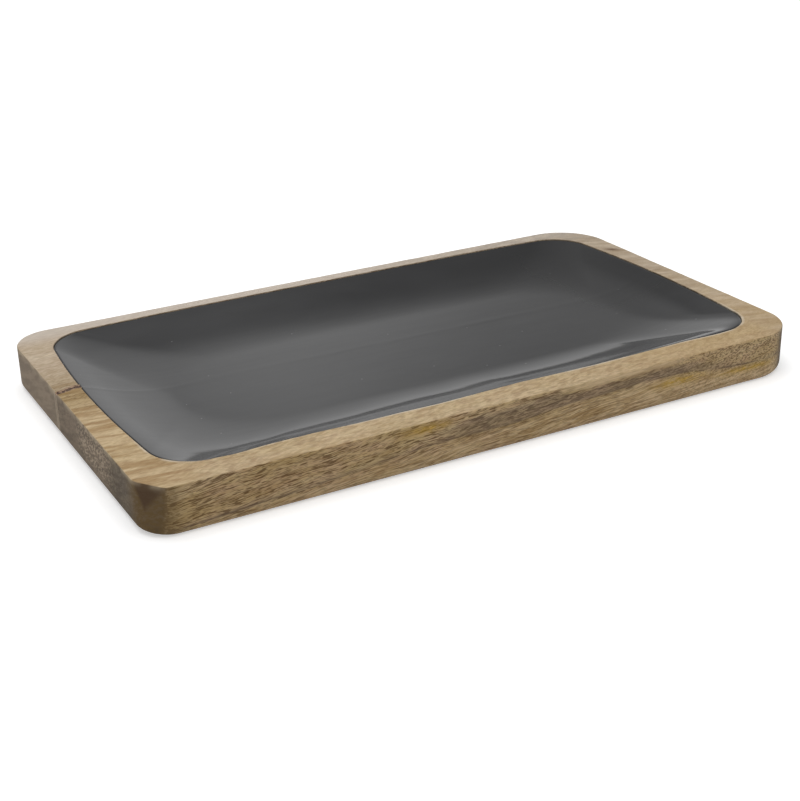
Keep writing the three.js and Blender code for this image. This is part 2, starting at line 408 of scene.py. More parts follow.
def corner_arcs(half_length, half_width, radii, inset_at_ends=0, inset_at_sides=0):
    """Arcs round the corners of a rectangle with its middle at the origin."""
    arcs = []
    for turn, ((sign_x, sign_y), radius) in enumerate(zip(CORNER_SIGNS, radii)):
        angles = (turn - 1) * QUARTER_TURN + np.linspace(0, QUARTER_TURN, CORNER_POINTS)
        arcs.append(np.column_stack((
            sign_x * (half_length - radius) + (radius - inset_at_ends) * np.cos(angles),
            sign_y * (half_width - radius) + (radius - inset_at_sides) * np.sin(angles),
        )))
    return arcs


def join_corners(corners):
    """A closed outline through four corners, with straight sides between them."""
    side_points = (END_POINTS, LONG_POINTS, END_POINTS, LONG_POINTS)
    stretches = []
    for corner, following, count in zip(corners, corners[1:] + corners[:1], side_points):
        shares = np.linspace(0, 1, count + 2)[1:-1, None]
        stretches += [corner, corner[-1] + shares * (following[0] - corner[-1])]
    return np.vstack(stretches)


def outward(outline):
    """Unit normals of an outline."""
    along = np.roll(outline, -1, axis=0) - np.roll(outline, 1, axis=0)
    normals = np.column_stack((along[:, 1], -along[:, 0]))
    return normals / np.linalg.norm(normals, axis=1, keepdims=True)


def blank_corners(inset_at_ends, inset_at_sides):
    radii = (FRONT_RIGHT_RADIUS, BACK_RIGHT_RADIUS, BACK_LEFT_RADIUS, FRONT_LEFT_RADIUS)
    return corner_arcs(LENGTH / 2, WIDTH / 2, radii, inset_at_ends, inset_at_sides)


def bend(start, corner, end):
    """A soft turn round a corner."""
    share = np.linspace(0, 1, BEND_POINTS)[:, None]
    return (1 - share) ** 2 * start + 2 * share * (1 - share) * corner + share ** 2 * end


def facet_corner():
    """The front left corner at the top: a straight facet with softened ends."""
    on_end = np.array((-LENGTH / 2, -WIDTH / 2 + FACET_ALONG_END))
    on_front = np.array((-LENGTH / 2 + FACET_ALONG_FRONT, -WIDTH / 2))
    along = (on_front - on_end) / np.linalg.norm(on_front - on_end)
    first = bend(
        on_end + (0, FACET_SOFT_AT_END), on_end, on_end + along * FACET_SOFT_AT_END)
    last = bend(
        on_front - along * FACET_SOFT_AT_FRONT, on_front, on_front + (FACET_SOFT_AT_FRONT, 0))
    shares = np.linspace(0, 1, FACET_POINTS + 2)[1:-1, None]
    return np.vstack((first, first[-1] + shares * (last[0] - first[-1]), last))


def enamel_depth(inset):
    """How far the enamel lies below the rim at a distance inside the lip."""
    if inset < SLOPE_RUN:
        return ENAMEL_BELOW_RIM + inset * math.tan(WALL_SLOPE)
    to_floor = max(SWEEP_RUN - inset, 0)
    return DISH_DEPTH - FLOOR_ROUND_RADIUS + math.sqrt(FLOOR_ROUND_RADIUS ** 2 - to_floor ** 2)


def back_inset(inset):
    """How far in the back's long sweep reaches the depth that the wall has at an inset."""
    rise = max(DISH_DEPTH - enamel_depth(inset), 0)
    return BACK_SWEEP_RUN * (1 - math.sqrt(rise / (DISH_DEPTH - ENAMEL_BELOW_RIM)))


def dish_outline(inset):
    """The dish at a distance inside its lip: a rounded rectangle with bowed sides."""
    left = -LENGTH / 2 + RIM_LEFT + inset
    right = LENGTH / 2 - RIM_RIGHT - inset
    front = -WIDTH / 2 + RIM_FRONT + inset
    back = WIDTH / 2 - RIM_BACK - back_inset(inset)
    half_length = (right - left) / 2
    half_width = (back - front) / 2
    radius = min(DISH_CORNER_RADIUS + inset * DISH_CORNER_GROWTH, half_length, half_width)
    outline = join_corners(corner_arcs(half_length, half_width, [radius] * len(CORNER_SIGNS)))
    u = outline[:, 0] / half_length
    v = outline[:, 1] / half_width
    side_bow = np.where(v < 0, FRONT_RIM_BOW, BACK_RIM_BOW)
    return np.column_stack((
        (left + right) / 2 + outline[:, 0] - END_RIM_BOW * u * np.abs(v) ** END_BOW_POWER,
        (front + back) / 2 + outline[:, 1] - side_bow * v * np.abs(u) ** SIDE_BOW_POWER,
    ))


def lip_outline(inset):
    """The dish's outline near the lip, with the wobble of a lip that was carved by hand."""
    outline = dish_outline(inset)
    at_lip = dish_outline(0)
    front_share = smooth_step(-at_lip[:, 1], *FRONT_LIP)
    flat = at_height(at_lip, 0)
    shift = ripples(flat, LIP_WOBBLES)
    shift += front_share * np.interp(at_lip[:, 0], LIP_PLACES, LIP_SHIFTS)
    fade = math.exp(-max(inset, 0) / LIP_WOBBLE_RUN)
    return outline + outward(at_lip) * (shift * fade)[:, None]


# Meshes

def loft(rings):
    """Points and faces of a closed skin over a stack of rings, with a fan at both ends."""
    count = len(rings[0])
    points = np.vstack([rings[0].mean(axis=0), *rings, rings[-1].mean(axis=0)])
    last = len(points) - 1
    faces = []
    for i in range(count):
        following = (i + 1) % count
        faces.append((0, 1 + following, 1 + i))
        for row in range(len(rings) - 1):
            below = 1 + row * count
            above = below + count
            faces.append((below + i, below + following, above + following, above + i))
        top = last - count
        faces.append((last, top + i, top + following))
    return points, faces


def make_mesh(name, points, faces):
    mesh = bpy.data.meshes.new(name)
    mesh.from_pydata((np.asarray(points) * MM).tolist(), [], faces)
    mesh.update()
    shaped = bmesh.new()
    shaped.from_mesh(mesh)
    bmesh.ops.recalc_face_normals(shaped, faces=shaped.faces[:])
    shaped.to_mesh(mesh)
    shaped.free()
    return mesh


def make_object(name, mesh):
    piece = bpy.data.objects.new(name, mesh)
    bpy.context.scene.collection.objects.link(piece)
    return piece


def add_piece(name, mesh, material, node):
    """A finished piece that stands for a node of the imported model."""
    mesh.name = name
    mesh.polygons.foreach_set("use_smooth", [True] * len(mesh.polygons))
    mesh.set_sharp_from_angle(angle=SHARP_EDGE)
    mesh.materials.clear()
    mesh.materials.append(material)
    piece = make_object(name, mesh)
    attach(piece, "root")
    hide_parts(node)


def stray(ring):
    """A ring of the blank's outside, moved inwards by the unevenness of hand sanding."""
    depth = WALL_UNEVENNESS * (0.5 + 0.5 * ripple(ring, WALL_UNEVENNESS_LENGTH, seed=5))
    moved = ring.copy()
    moved[:, :2] -= outward(ring[:, :2]) * np.clip(depth, 0, None)[:, None]
    return moved


def quarter_round(count):
    """How much of a quarter round's two radii is left, and is covered, at each of its rings."""
    angles = np.linspace(0, QUARTER_TURN, count)
    return zip(1 - np.sin(angles), 1 - np.cos(angles))


def board_rings():
    """Rings of the whole board, from the middle of its underside, round the outside, over
    the rim and down into the dish, with how much each ring takes of the pale top edge,
    partly wear and partly painted highlight, and of the painted highlight along the lip."""
    foot = []
    for left, risen in quarter_round(FOOT_RINGS):
        corners = blank_corners(UNDERSIDE_ROUND_AT_ENDS * left, UNDERSIDE_ROUND_AT_SIDES * left)
        foot.append(at_height(join_corners(corners), UNDERSIDE_ROUND_HEIGHT * risen))
    brow = join_corners(blank_corners(0, 0)[:-1] + [facet_corner()])
    inwards = -outward(brow)
    uneven = ripple(at_height(brow, 0), TOP_EASE_WAVE_LENGTH, seed=2)
    ease = TOP_EASE * (1 + TOP_EASE_VARIATION * uneven)
    top = []
    for left, moved in quarter_round(EASE_RINGS):
        top.append(at_height(brow + inwards * (ease * moved)[:, None], HEIGHT - ease * left))
    shares = np.linspace(0, 1, WALL_RINGS)[1:-1]
    walls = [foot[-1] + share * (top[0] - foot[-1]) for share in shares]
    outside = [stray(ring) for ring in foot + walls + top]

    lip = lip_outline(0)
    away = outward(lip)
    lips = []
    for left, sunk in quarter_round(LIP_RINGS):
        lips.append(at_height(lip + away * LIP_ROUND * left, HEIGHT - LIP_ROUND * sunk))
    rims = []
    for share in RIM_SHARES:
        ring = outside[-1] + share * (lips[0] - outside[-1])
        hollow = 0.5 + 0.5 * ripple(ring, RIM_UNEVENNESS_LENGTH, seed=4)
        ring[:, 2] -= RIM_UNEVENNESS * hollow * (share * (1 - share) * 4)
        rims.append(ring)

    coat = ENAMEL_THICKNESS + ENAMEL_CLEARANCE
    recess = []
    for inset in np.linspace(0, SWEEP_RUN, RECESS_RINGS):
        outline = lip_outline(inset) if inset == 0 else dish_outline(inset)
        recess.append(at_height(outline, HEIGHT - enamel_depth(inset) - coat))

    rings = outside + rims + lips + recess
    # How much of the pale top edge, partly wear and partly painted highlight, each ring takes
    worn_and_highlit = [0.0] * (len(outside) - EASE_RINGS - 1)
    worn_and_highlit += [WEAR_AND_HIGHLIGHT_BELOW_EDGE] + [1.0] * EASE_RINGS + [WEAR_AND_HIGHLIGHT_ABOVE_EDGE]
    worn_and_highlit += [0.0] * (len(rings) - len(worn_and_highlit))
    # How much of the painted highlight along the lip each ring takes
    at_lip = [0.0] * (len(outside) + len(rims) - 1)
    at_lip += [HIGHLIGHT_BESIDE_LIP] + [1.0] * LIP_RINGS
    at_lip += [0.0] * (len(rings) - len(at_lip))
    return rings, {"worn_and_highlit": worn_and_highlit, "at_lip": at_lip}


def add_layer(mesh, name, values):
    """A value at each point of a mesh, for its material to read."""
    layer = mesh.attributes.new(name, "FLOAT", "POINT")
    layer.data.foreach_set("value", values.astype(np.float32))


def board_mesh():
    rings, layers = board_rings()
    points, faces = loft(rings)
    mesh = make_mesh("board", points, faces)
    for name, shares in layers.items():
        add_layer(mesh, name, np.concatenate(([0], np.repeat(shares, len(rings[0])), [0])))
    return mesh


def slice_board(board, nearest, farthest):
    """The part of the board between two distances behind the joint's middle plane."""
    part = bmesh.new()
    part.from_mesh(board)
    across = Vector((-math.sin(JOINT_SKEW), math.cos(JOINT_SKEW), 0))
    middle = Vector((0, JOINT_Y * MM, 0))
    for distance, side in ((nearest, -1), (farthest, 1)):
        if distance is None:
            continue
        cut = bmesh.ops.bisect_plane(
            part,
            geom=part.verts[:] + part.edges[:] + part.faces[:],
            dist=CUT_TOLERANCE,
            plane_co=middle + across * distance * MM,
            plane_no=across * side,
            clear_outer=True,
        )
        edges = [item for item in cut["geom_cut"] if isinstance(item, bmesh.types.BMEdge)]
        bmesh.ops.triangle_fill(part, use_beauty=True, edges=edges, normal=across * side)
    bmesh.ops.recalc_face_normals(part, faces=part.faces[:])
    mesh = bpy.data.meshes.new("slice")
    part.to_mesh(mesh)
    part.free()
    return mesh


def filler_path():
    """The filler's ragged edges and its groove's depth, from the board's end to the lip."""
    shares = np.linspace(0, FILLER_END_SHARE, FILLER_STEPS)
    x = -LENGTH / 2 + shares * RIM_LEFT
    line = JOINT_Y + math.tan(JOINT_SKEW) * x + np.interp(shares, FILLER_SHARES, FILLER_OFFSETS)
    spine = np.column_stack((x, line, np.zeros(FILLER_STEPS)))
    edges = []
    for side, seed in ((-1, 11), (1, 17)):
        spread = np.interp(shares, FILLER_SHARES, FILLER_SPREADS)
        spread += ripples(spine, FILLER_RAGS, seed)
        edges.append(line + side * FILLER_WIDTH / 2 * np.clip(spread, FILLER_LEAST_SPREAD, 1))
    deeper = (1 - FILLER_END_DEPTH) * smooth_step(shares, 0, FILLER_DEPTH_RUN)
    depth = FILLER_DEPTH * (FILLER_END_DEPTH + deeper)
    return x, edges[0], edges[1], depth


def tube_from_sections(sections):
    """A closed skin along a row of sections with as many points each."""
    count = len(sections[0])
    points = np.vstack(sections)
    faces = [tuple(range(count))]
    for row in range(len(sections) - 1):
        near = row * count
        far = near + count
        for i in range(count):
            following = (i + 1) % count
            faces.append((near + i, near + following, far + following, far + i))
    start = (len(sections) - 1) * count
    faces.append(tuple(range(start, start + count)))
    return points, faces


def filler_groove():
    """What the filler's groove takes out of the wood."""
    x, front, back, depth = filler_path()
    x[0] -= GROOVE_OVERRUN
    front = front - GROOVE_CLEARANCE
    back = back + GROOVE_CLEARANCE
    roof = HEIGHT + GROOVE_OVERHEAD
    sections = []
    for i in range(FILLER_STEPS):
        floor = HEIGHT - depth[i] - GROOVE_CLEARANCE
        sections.append(np.array((
            (x[i], front[i], floor),
            (x[i], back[i], floor),
            (x[i], back[i], roof),
            (x[i], front[i], roof),
        )))
    return make_object("groove", make_mesh("groove", *tube_from_sections(sections)))


def filler_mesh():
    """The filler: a ragged strip with a lumpy top that lies just below the rim."""
    x, front, back, depth = filler_path()
    across = np.linspace(0, 1, FILLER_POINTS)
    from_edges = np.sin(across * math.pi)
    sections = []
    for i in range(FILLER_STEPS):
        y = front[i] + across * (back[i] - front[i])
        top = np.column_stack((np.full(len(y), x[i]), y, np.zeros(len(y))))
        lumps = 0.5 + 0.5 * ripple(top, FILLER_LUMP_LENGTH, seed=21)
        run_out = TOP_EASE * math.exp(-(x[i] + LENGTH / 2) / FILLER_RUN_OUT)
        top[:, 2] = HEIGHT - FILLER_SINK - FILLER_LUMPS * lumps * from_edges - run_out
        floor = HEIGHT - depth[i]
        bottom = np.array(((x[i], back[i], floor), (x[i], front[i], floor)))
        sections.append(np.vstack((top, bottom)))
    mesh = make_mesh("filler", *tube_from_sections(sections))
    add_layer(mesh, "core", np.tile(np.concatenate((from_edges, (0, 0))), FILLER_STEPS))
    return mesh


def cut_away(mesh, cutter):
    """A mesh with the cutter's shape taken out of it."""
    piece = make_object("uncut", mesh)
    modifier = piece.modifiers.new("cut", "BOOLEAN")
    modifier.object = cutter
    modifier.operation = "DIFFERENCE"
    modifier.solver = "EXACT"
    shown = piece.evaluated_get(bpy.context.evaluated_depsgraph_get())
    result = bpy.data.meshes.new_from_object(shown)
    bpy.data.objects.remove(piece)
    return result


def lip_roll():
    """How far the enamel swells where it rolls over, at each point of the lip."""
    lip = dish_outline(0)
    facing = -outward(lip)
    at_front = smooth_step(facing[:, 1], *ROLL_FACING)
    at_left = smooth_step(facing[:, 0], *ROLL_FACING)
    around = lip[:, :1] + np.linspace(-ROLL_BLEND, ROLL_BLEND, ROLL_BLEND_STEPS)
    along_front = np.interp(around, FRONT_ROLL_PLACES, FRONT_ROLLS).mean(axis=1)
    return along_front * at_front + LEFT_ROLL * at_left * (1 - at_front)


def enamel_surface(outline, inset):
    """One ring of the enamel's upper face: swells, waves and the ridge over the joint."""
    on_wall = 1 - smooth_step(inset, WALL_WAVE_FADES, SWEEP_RUN)
    on_floor = smooth_step(inset, FLOOR_WAVE_STARTS, SWEEP_RUN)
    depth = enamel_depth(inset)
    depth += ENAMEL_EDGE_DROP * math.exp(-((inset / ENAMEL_EDGE_RUN) ** 2))
    ring = at_height(outline, HEIGHT - depth)
    flat = at_height(outline, 0)
    ring[:, 2] += lip_roll() * (1 - math.exp(-inset / ROLL_RUN)) * on_wall
    wave = WALL_WAVE * on_wall * smooth_step(inset, 0, WALL_WAVE_FULL)
    ring[:, 2] += wave * ripple(flat, WALL_WAVE_LENGTH, seed=31)
    ring[:, 2] += FLOOR_WAVE * on_floor * ripple(flat, FLOOR_WAVE_LENGTH, seed=37)
    ridge = RIDGE_HEIGHT * (1 + RIDGE_VARIATION * ripple(flat, RIDGE_WAVE_LENGTH, seed=41))
    ridge = ridge * smooth_step(inset, *RIDGE_RISE)
    ring[:, 2] += ridge * np.exp(-((joint_distance(flat) / RIDGE_WIDTH) ** 2))
    return ring


def enamel_mesh():
    """The coat: its underside from the floor out to the lip, then its upper face back in."""
    shares = np.linspace(0, 1, SWEEP_RINGS) ** SWEEP_CROWDING
    lip_to_floor = ENAMEL_EDGE_GAP + (SWEEP_RUN - ENAMEL_EDGE_GAP) * shares
    upper = [enamel_surface(lip_outline(inset), inset) for inset in lip_to_floor]
    floor_edge = dish_outline(SWEEP_RUN)
    middle = floor_edge.mean(axis=0)
    for share in np.linspace(1, 0, FLOOR_RINGS + 2)[1:-1]:
        upper.append(enamel_surface(middle + share * (floor_edge - middle), SWEEP_RUN))
    under = []
    for inset in np.linspace(ENAMEL_EDGE_GAP, SWEEP_RUN, RECESS_RINGS):
        height = HEIGHT - enamel_depth(inset) - ENAMEL_THICKNESS
        under.append(at_height(lip_outline(inset), height))
    return make_mesh("enamel", *loft(under[::-1] + upper))


# Materials

def linear(colour):
    """A colour given from 0 to 255 as a display shows it, as the light that it stands for."""
    shares = [part / 255 for part in colour]
    light = [s / 12.92 if s <= 0.04045 else ((s + 0.055) / 1.055) ** 2.4 for s in shares]
    return (*light, 1)


class Wire:
    """One output of a shader node, with arithmetic that adds Math nodes."""

    def __init__(self, graph, socket):
        self.graph = graph
        self.socket = socket

    def __add__(self, other):
        return self.graph.math("ADD", self, other)

    def __sub__(self, other):
        return self.graph.math("SUBTRACT", self, other)

    def __rsub__(self, other):
        return self.graph.math("SUBTRACT", other, self)

    def __mul__(self, other):
        return self.graph.math("MULTIPLY", self, other)

    def __truediv__(self, other):
        return self.graph.math("DIVIDE", self, other)

    __radd__ = __add__
    __rmul__ = __mul__


class Graph:
    """A node tree with short calls for the nodes that the materials share."""

    def __init__(self, tree):
        self.tree = tree
        self.tree.nodes.clear()

    def add(self, kind, values=None, **settings):
        """A new node, with the wires or plain values that its sockets take."""
        node = self.tree.nodes.new(kind)
        for name, value in settings.items():
            setattr(node, name, value)
        for socket, value in (values or {}).items():
            self.put(node.inputs[socket], value)
        return node

    def wire(self, kind, values, **settings):
        """The first output of a new node."""
        return Wire(self, self.add(kind, values, **settings).outputs[0])

    def put(self, socket, value):
        """Links a wire to a socket, or sets the socket to a plain value."""
        if isinstance(value, Wire):
            self.tree.links.new(value.socket, socket)
        else:
            socket.default_value = value

    def math(self, operation, *values):
        return self.wire("ShaderNodeMath", dict(enumerate(values)), operation=operation)

    def combine(self, x, y, z):
        return self.wire("ShaderNodeCombineXYZ", {"X": x, "Y": y, "Z": z})

    def split(self, socket):
        node = self.add("ShaderNodeSeparateXYZ")
        self.tree.links.new(socket, node.inputs[0])
        return [Wire(self, output) for output in node.outputs]

    def place(self):
        """Where a point lies on the object, in millimetres."""
        coordinates = self.add("ShaderNodeTexCoord").outputs["Object"]
        return [part / MM for part in self.split(coordinates)]

    def attribute(self, name):
        return Wire(self, self.add("ShaderNodeAttribute", attribute_name=name).outputs["Fac"])

    def noise(self, x, y, z, detail=2):
        values = {"Vector": self.combine(x, y, z), "Scale": 1, "Detail": detail}
        return self.wire("ShaderNodeTexNoise", values)

    def specks(self, x, y, spacing, radius, share):
        """1 in small round specks: a share of the cells of a given spacing have one each."""
        values = {"Vector": self.combine(x, y, 0), "Scale": 1 / spacing}
        cells = self.add("ShaderNodeTexVoronoi", values, voronoi_dimensions="2D")
        chance = self.split(cells.outputs["Color"])[0]
        away = Wire(self, cells.outputs["Distance"]) * spacing
        round_speck = 1 - self.smooth(away, 0.6 * radius, radius)
        return round_speck * (1 - self.smooth(chance, share, share + 0.01))

    def smooth(self, value, start, end):
        """0 at one value and 1 at another, which may be the lower one, with a smooth change
        between them and none beyond."""
        values = {"Value": value, "From Min": start, "From Max": end}
        return self.wire("ShaderNodeMapRange", values, interpolation_type="SMOOTHSTEP")

    def bell(self, value, centre, width):
        """1 at the centre, and close to 0 two widths away from it."""
        share = (value - centre) / width
        return self.math("EXPONENT", share * share * -1)

    def blend(self, share, first, second):
        """A colour between two, which are wires or numbers from 0 to 255."""
        node = self.add("ShaderNodeMix", {"Factor": share}, data_type="RGBA")
        for socket, value in ((node.inputs[6], first), (node.inputs[7], second)):
            self.put(socket, value if isinstance(value, Wire) else linear(value))
        return Wire(self, node.outputs[2])

    def layers(self, colour, coats):
        """A colour with others laid over it in turn, each with its share."""
        for share, coat in coats:
            colour = self.blend(share, colour, coat)
        return colour

    def curve(self, value, points):
        """A smooth curve through points, from 0 to 1 each way."""
        node = self.add("ShaderNodeFloatCurve", {"Value": value})
        line = node.mapping.curves[0]
        line.points[0].location = points[0]
        line.points[1].location = points[-1]
        for point in points[1:-1]:
            line.points.new(*point)
        node.mapping.update()
        return Wire(self, node.outputs[0])

    def bump(self, height, strength, distance):
        values = {"Strength": strength, "Distance": distance * MM, "Height": height}
        return self.wire("ShaderNodeBump", values)

    def surface(self, colour, roughness, normal, specular=0.5):
        """The finished surface."""
        self.show(self.add("ShaderNodeBsdfPrincipled", {
            "Base Color": colour,
            "Roughness": roughness,
            "Normal": normal,
            "Specular IOR Level": specular,
        }))

    def show(self, shader, output="ShaderNodeOutputMaterial"):
        self.tree.links.new(shader.outputs[0], self.add(output).inputs["Surface"])


def new_material(name):
    material = bpy.data.materials.new(name)
    material.use_nodes = True
    return material, Graph(material.node_tree)


class Grain:
    """What the grain of a plank looks like at a point: wires from 0 to 1. A noise's divisors
    are the sizes of its marks in millimetres: along the plank, across it and up."""

    def __init__(self, graph, rise, seed):
        x, y, z = graph.place()
        facing_x, _, facing_z = graph.split(graph.add("ShaderNodeNewGeometry").outputs["Normal"])
        self.on_top = graph.smooth(facing_z, 0.5, 0.9)
        self.on_end = graph.smooth(graph.math("ABSOLUTE", facing_x), 0.3, 0.6)
        drift_y = graph.noise(x / 70 + seed, y / 30, z / 30) - 0.5
        drift_z = graph.noise(x / 60, y / 30 + seed, z / 30) - 0.5
        across = y + 7 * drift_y
        up = z - rise * x + 9 * drift_z
        self.bands = graph.smooth(
            graph.noise(x / 160 + seed, across / 9, up / 9, detail=3), 0.36, 0.64)
        self.tints = graph.smooth(
            graph.noise(x / 40, across / 8 + seed, up / 8, detail=2), 0.4, 0.62)
        self.streaks = graph.smooth(
            graph.noise(x / 55, across / 2.2 + seed, up / 2.2, detail=3), 0.42, 0.68)
        self.fibres = graph.noise(x / 16, across / 0.7, up / 0.7 + seed, detail=2)
        bent = 5 * (graph.noise(x / 18, y / 12 + seed, z / 12) - 0.5)
        slant_along = 0.95 * x + 0.31 * y
        slant_across = 0.95 * y - 0.31 * x + bent
        self.mottle = graph.smooth(
            graph.noise(slant_along / 6, slant_across / 1.9, up / 1.1 + seed, detail=3), 0.38, 0.62)
        self.blotches = graph.smooth(
            graph.noise(slant_along / 11, slant_across / 6, up / 4 + seed, detail=2), 0.38, 0.62)
        patchy = graph.noise(x / 40 + seed, across / 12, up / 12) - 0.5
        long_pores = graph.noise(x / 6, across / 0.6 + seed, up / 0.6, detail=1)
        fine_pores = graph.noise(x / 3.5 + seed, across / 0.42, up / 0.42, detail=0)
        curly_pores = graph.noise(x / 1.5, across / 0.7 + seed, up / 0.65, detail=1)
        dashes = graph.smooth(long_pores + 0.2 * patchy, 0.52, 0.62)
        dashes = graph.math("MAXIMUM", dashes, 0.6 * graph.smooth(fine_pores, 0.54, 0.64))
        curly = graph.smooth(x, *CURLY_X)
        self.vessels = dashes + curly * (0.85 * graph.smooth(curly_pores, 0.46, 0.6) - dashes)
        end_along = 0.94 * y - 0.33 * z
        end_across = 0.94 * z + 0.33 * y
        self.specks = graph.smooth(
            graph.noise(x / 3, end_along / 2.4, end_across / 1.2 + seed, detail=2), 0.45, 0.6)
        self.swirls = graph.noise(x / 20, end_along / 14, end_across / 3 + seed, detail=2)
        self.clouds = graph.noise(x / 30, y / 14, z / 14 + seed, detail=3)
        self.x, self.y, self.z = x, y, z


def wood_colour(graph, grain, shades):
    """The colours that both planks share: bands, tints, streaks, fibres, blotches and vessels,
    with a painted sheen over the tops.
    """
    pale, plain, dark, tint, blush, vessels = shades
    strength = 0.78 - 0.42 * grain.on_top - 0.4 * grain.on_end
    return graph.layers(graph.blend(grain.bands, pale, plain), (
        (grain.tints * 0.5, tint),
        ((1 - grain.tints) * grain.blotches * 0.5, blush),
        (grain.streaks * (0.32 + 0.2 * grain.on_top), dark),
        (graph.smooth(grain.fibres, 0.45, 0.75) * 0.5, dark),
        (grain.blotches * (0.05 + 0.3 * grain.on_top), dark),
        (grain.mottle * (0.1 + 0.15 * grain.on_top), dark),
        ((1 - grain.mottle) * (0.15 + 0.35 * grain.on_top), pale),
        (grain.vessels * strength, vessels),
        # Painted sheen: the tops are washed paler
        (grain.on_top * 0.25, PAINTED_SHEEN_WOOD),
    ))


def wood_surface(graph, grain, colour):
    """Paler top edges at the ends, partly wear and partly painted highlight, a painted highlight
    along the front lip, and the relief of a sanded and oiled plank.
    """
    # Painted highlights, broken into patches: along the ends' top edges, where they are partly
    # wear, and along the front lip
    broken_up = graph.smooth(grain.clouds, 0.35, 0.6)
    lip_highlight = graph.attribute("at_lip") * graph.smooth(grain.y, *PAINTED_LIP_HIGHLIGHT_Y)
    colour = graph.layers(colour, (
        (graph.attribute("worn_and_highlit") * broken_up * grain.on_end * 0.35, WEAR_AND_HIGHLIGHT_WOOD),
        (lip_highlight * broken_up * 0.85, PAINTED_LIP_HIGHLIGHT),
    ))
    height = grain.fibres * 0.5 - grain.vessels
    on_cut = grain.on_end * (1 - grain.on_top)
    roughness = 0.52 + 0.12 * grain.vessels + 0.2 * on_cut
    graph.surface(colour, roughness, graph.bump(height, 0.35, 0.12), specular=0.2)


def end_grain(graph, grain, colour, shade):
    """Darker, greyer wood where the fibres are cut across, with soft slanting bands."""
    swirls = graph.smooth(grain.swirls, 0.35, 0.65)
    shade = graph.layers(shade, (
        (swirls * 0.3, DARK_END_GRAIN),
        ((1 - swirls) * 0.15, PALE_SPECKS),
    ))
    return graph.blend(grain.on_end * (0.95 - 0.85 * grain.on_top), colour, shade)


def right_rim(graph, grain, colour):
    """Greyer wood with slanting ribbons in the right rim, much the same in both planks."""
    on_rim = graph.smooth(grain.x, *RIGHT_RIM_X) * grain.on_top
    grey = 0.3 + 0.35 * graph.smooth(grain.y, *RIGHT_RIM_GREY_Y) + 0.15 * grain.blotches
    ribbons = graph.noise(grain.x / 24, (grain.y + 0.3 * grain.x) / 5, 0, detail=3)
    return graph.layers(colour, (
        (on_rim * grey, RIGHT_RIM_WOOD),
        (on_rim * graph.smooth(ribbons, 0.48, 0.66) * 0.45, DARK_BACK_WOOD),
        (on_rim * (1 - graph.smooth(ribbons, 0.34, 0.5)) * 0.4, PALE_BACK_WOOD),
    ))


def joint_edge(graph, grain, colour):
    """On the ends, paler wood beside the joint and a dark line where the glue soaked in. On
    the rims, a brown mark at the right and an olive stain with slanted marks at the left."""
    behind = grain.y - JOINT_Y - math.tan(JOINT_SKEW) * grain.x
    away = graph.math("ABSOLUTE", behind)
    mark = graph.bell(behind, JOINT_MARK_BEHIND, JOINT_MARK_WIDTH)
    mark = mark * graph.bell(grain.x, JOINT_MARK_X, JOINT_MARK_LENGTH) * grain.on_top
    stain = graph.bell(behind, JOINT_STAIN_BEHIND, JOINT_STAIN_WIDTH)
    stain = stain * graph.smooth(grain.x, *JOINT_STAIN_X) * grain.on_top
    slant_along = grain.x + 0.5 * grain.y
    slant_across = grain.y - 0.5 * grain.x
    slanted = graph.noise(slant_along / 3.5, slant_across / 0.8, 0, detail=1)
    return graph.layers(colour, (
        (graph.bell(away, 1.1, 0.7) * grain.on_end * 0.5, PALE_BACK_WOOD),
        (graph.bell(away, 0.2, 0.35) * grain.on_end * 0.6, FRONT_VESSELS),
        (mark * 0.4, KNOT_WOOD),
        (stain * (0.45 + 0.35 * grain.streaks), OLIVE_WOOD),
        (stain * graph.smooth(slanted, 0.54, 0.66) * 0.5, FRONT_VESSELS),
    ))


def back_rims(graph, grain):
    """The back plank's colour, with a knot, a scratch, greyer rims and a painted sheen along
    the far rim.
    """
    knot_x = (grain.x - KNOT_X) * 0.7
    knot_y = (grain.y - KNOT_Y) * 0.7
    knot = graph.bell(knot_x - knot_y, 0, KNOT_LENGTH) * graph.bell(knot_x + knot_y, 0, KNOT_WIDTH)
    beside_scratch = grain.y - SCRATCH_Y - SCRATCH_SLOPE * (grain.x - SCRATCH_X)
    scratch = graph.bell(beside_scratch, 0, SCRATCH_WIDTH)
    scratch = scratch * graph.bell(grain.x, SCRATCH_X, SCRATCH_LENGTH)
    # A painted sheen along the far back rim, weaker towards the right
    far = graph.smooth(grain.y, *BACK_RIM_SHEEN_Y) * (1 - 0.4 * graph.smooth(grain.x, *BACK_RIM_SHEEN_FADES_X))
    grey = graph.smooth(grain.x, *GREY_RIM_X) * graph.smooth(grain.y, *GREY_RIM_Y)
    return graph.layers(right_rim(graph, grain, wood_colour(graph, grain, BACK_SHADES)), (
        (knot * grain.on_top * 0.85, KNOT_WOOD),
        (scratch * grain.on_top * 0.55, WEAR_AND_HIGHLIGHT_WOOD),
        (far * grain.on_top * 0.6, PAINTED_SHEEN_BACK_RIM),
        (grey * grain.on_top * (0.15 + 0.3 * grain.blotches), GREY_RIM_WOOD),
    ))


def back_wood():
    material, graph = new_material("back_wood")
    grain = Grain(graph, 0.01, 4.7)
    colour = end_grain(graph, grain, back_rims(graph, grain), BACK_END_GRAIN)
    wood_surface(graph, grain, joint_edge(graph, grain, colour))
    return material


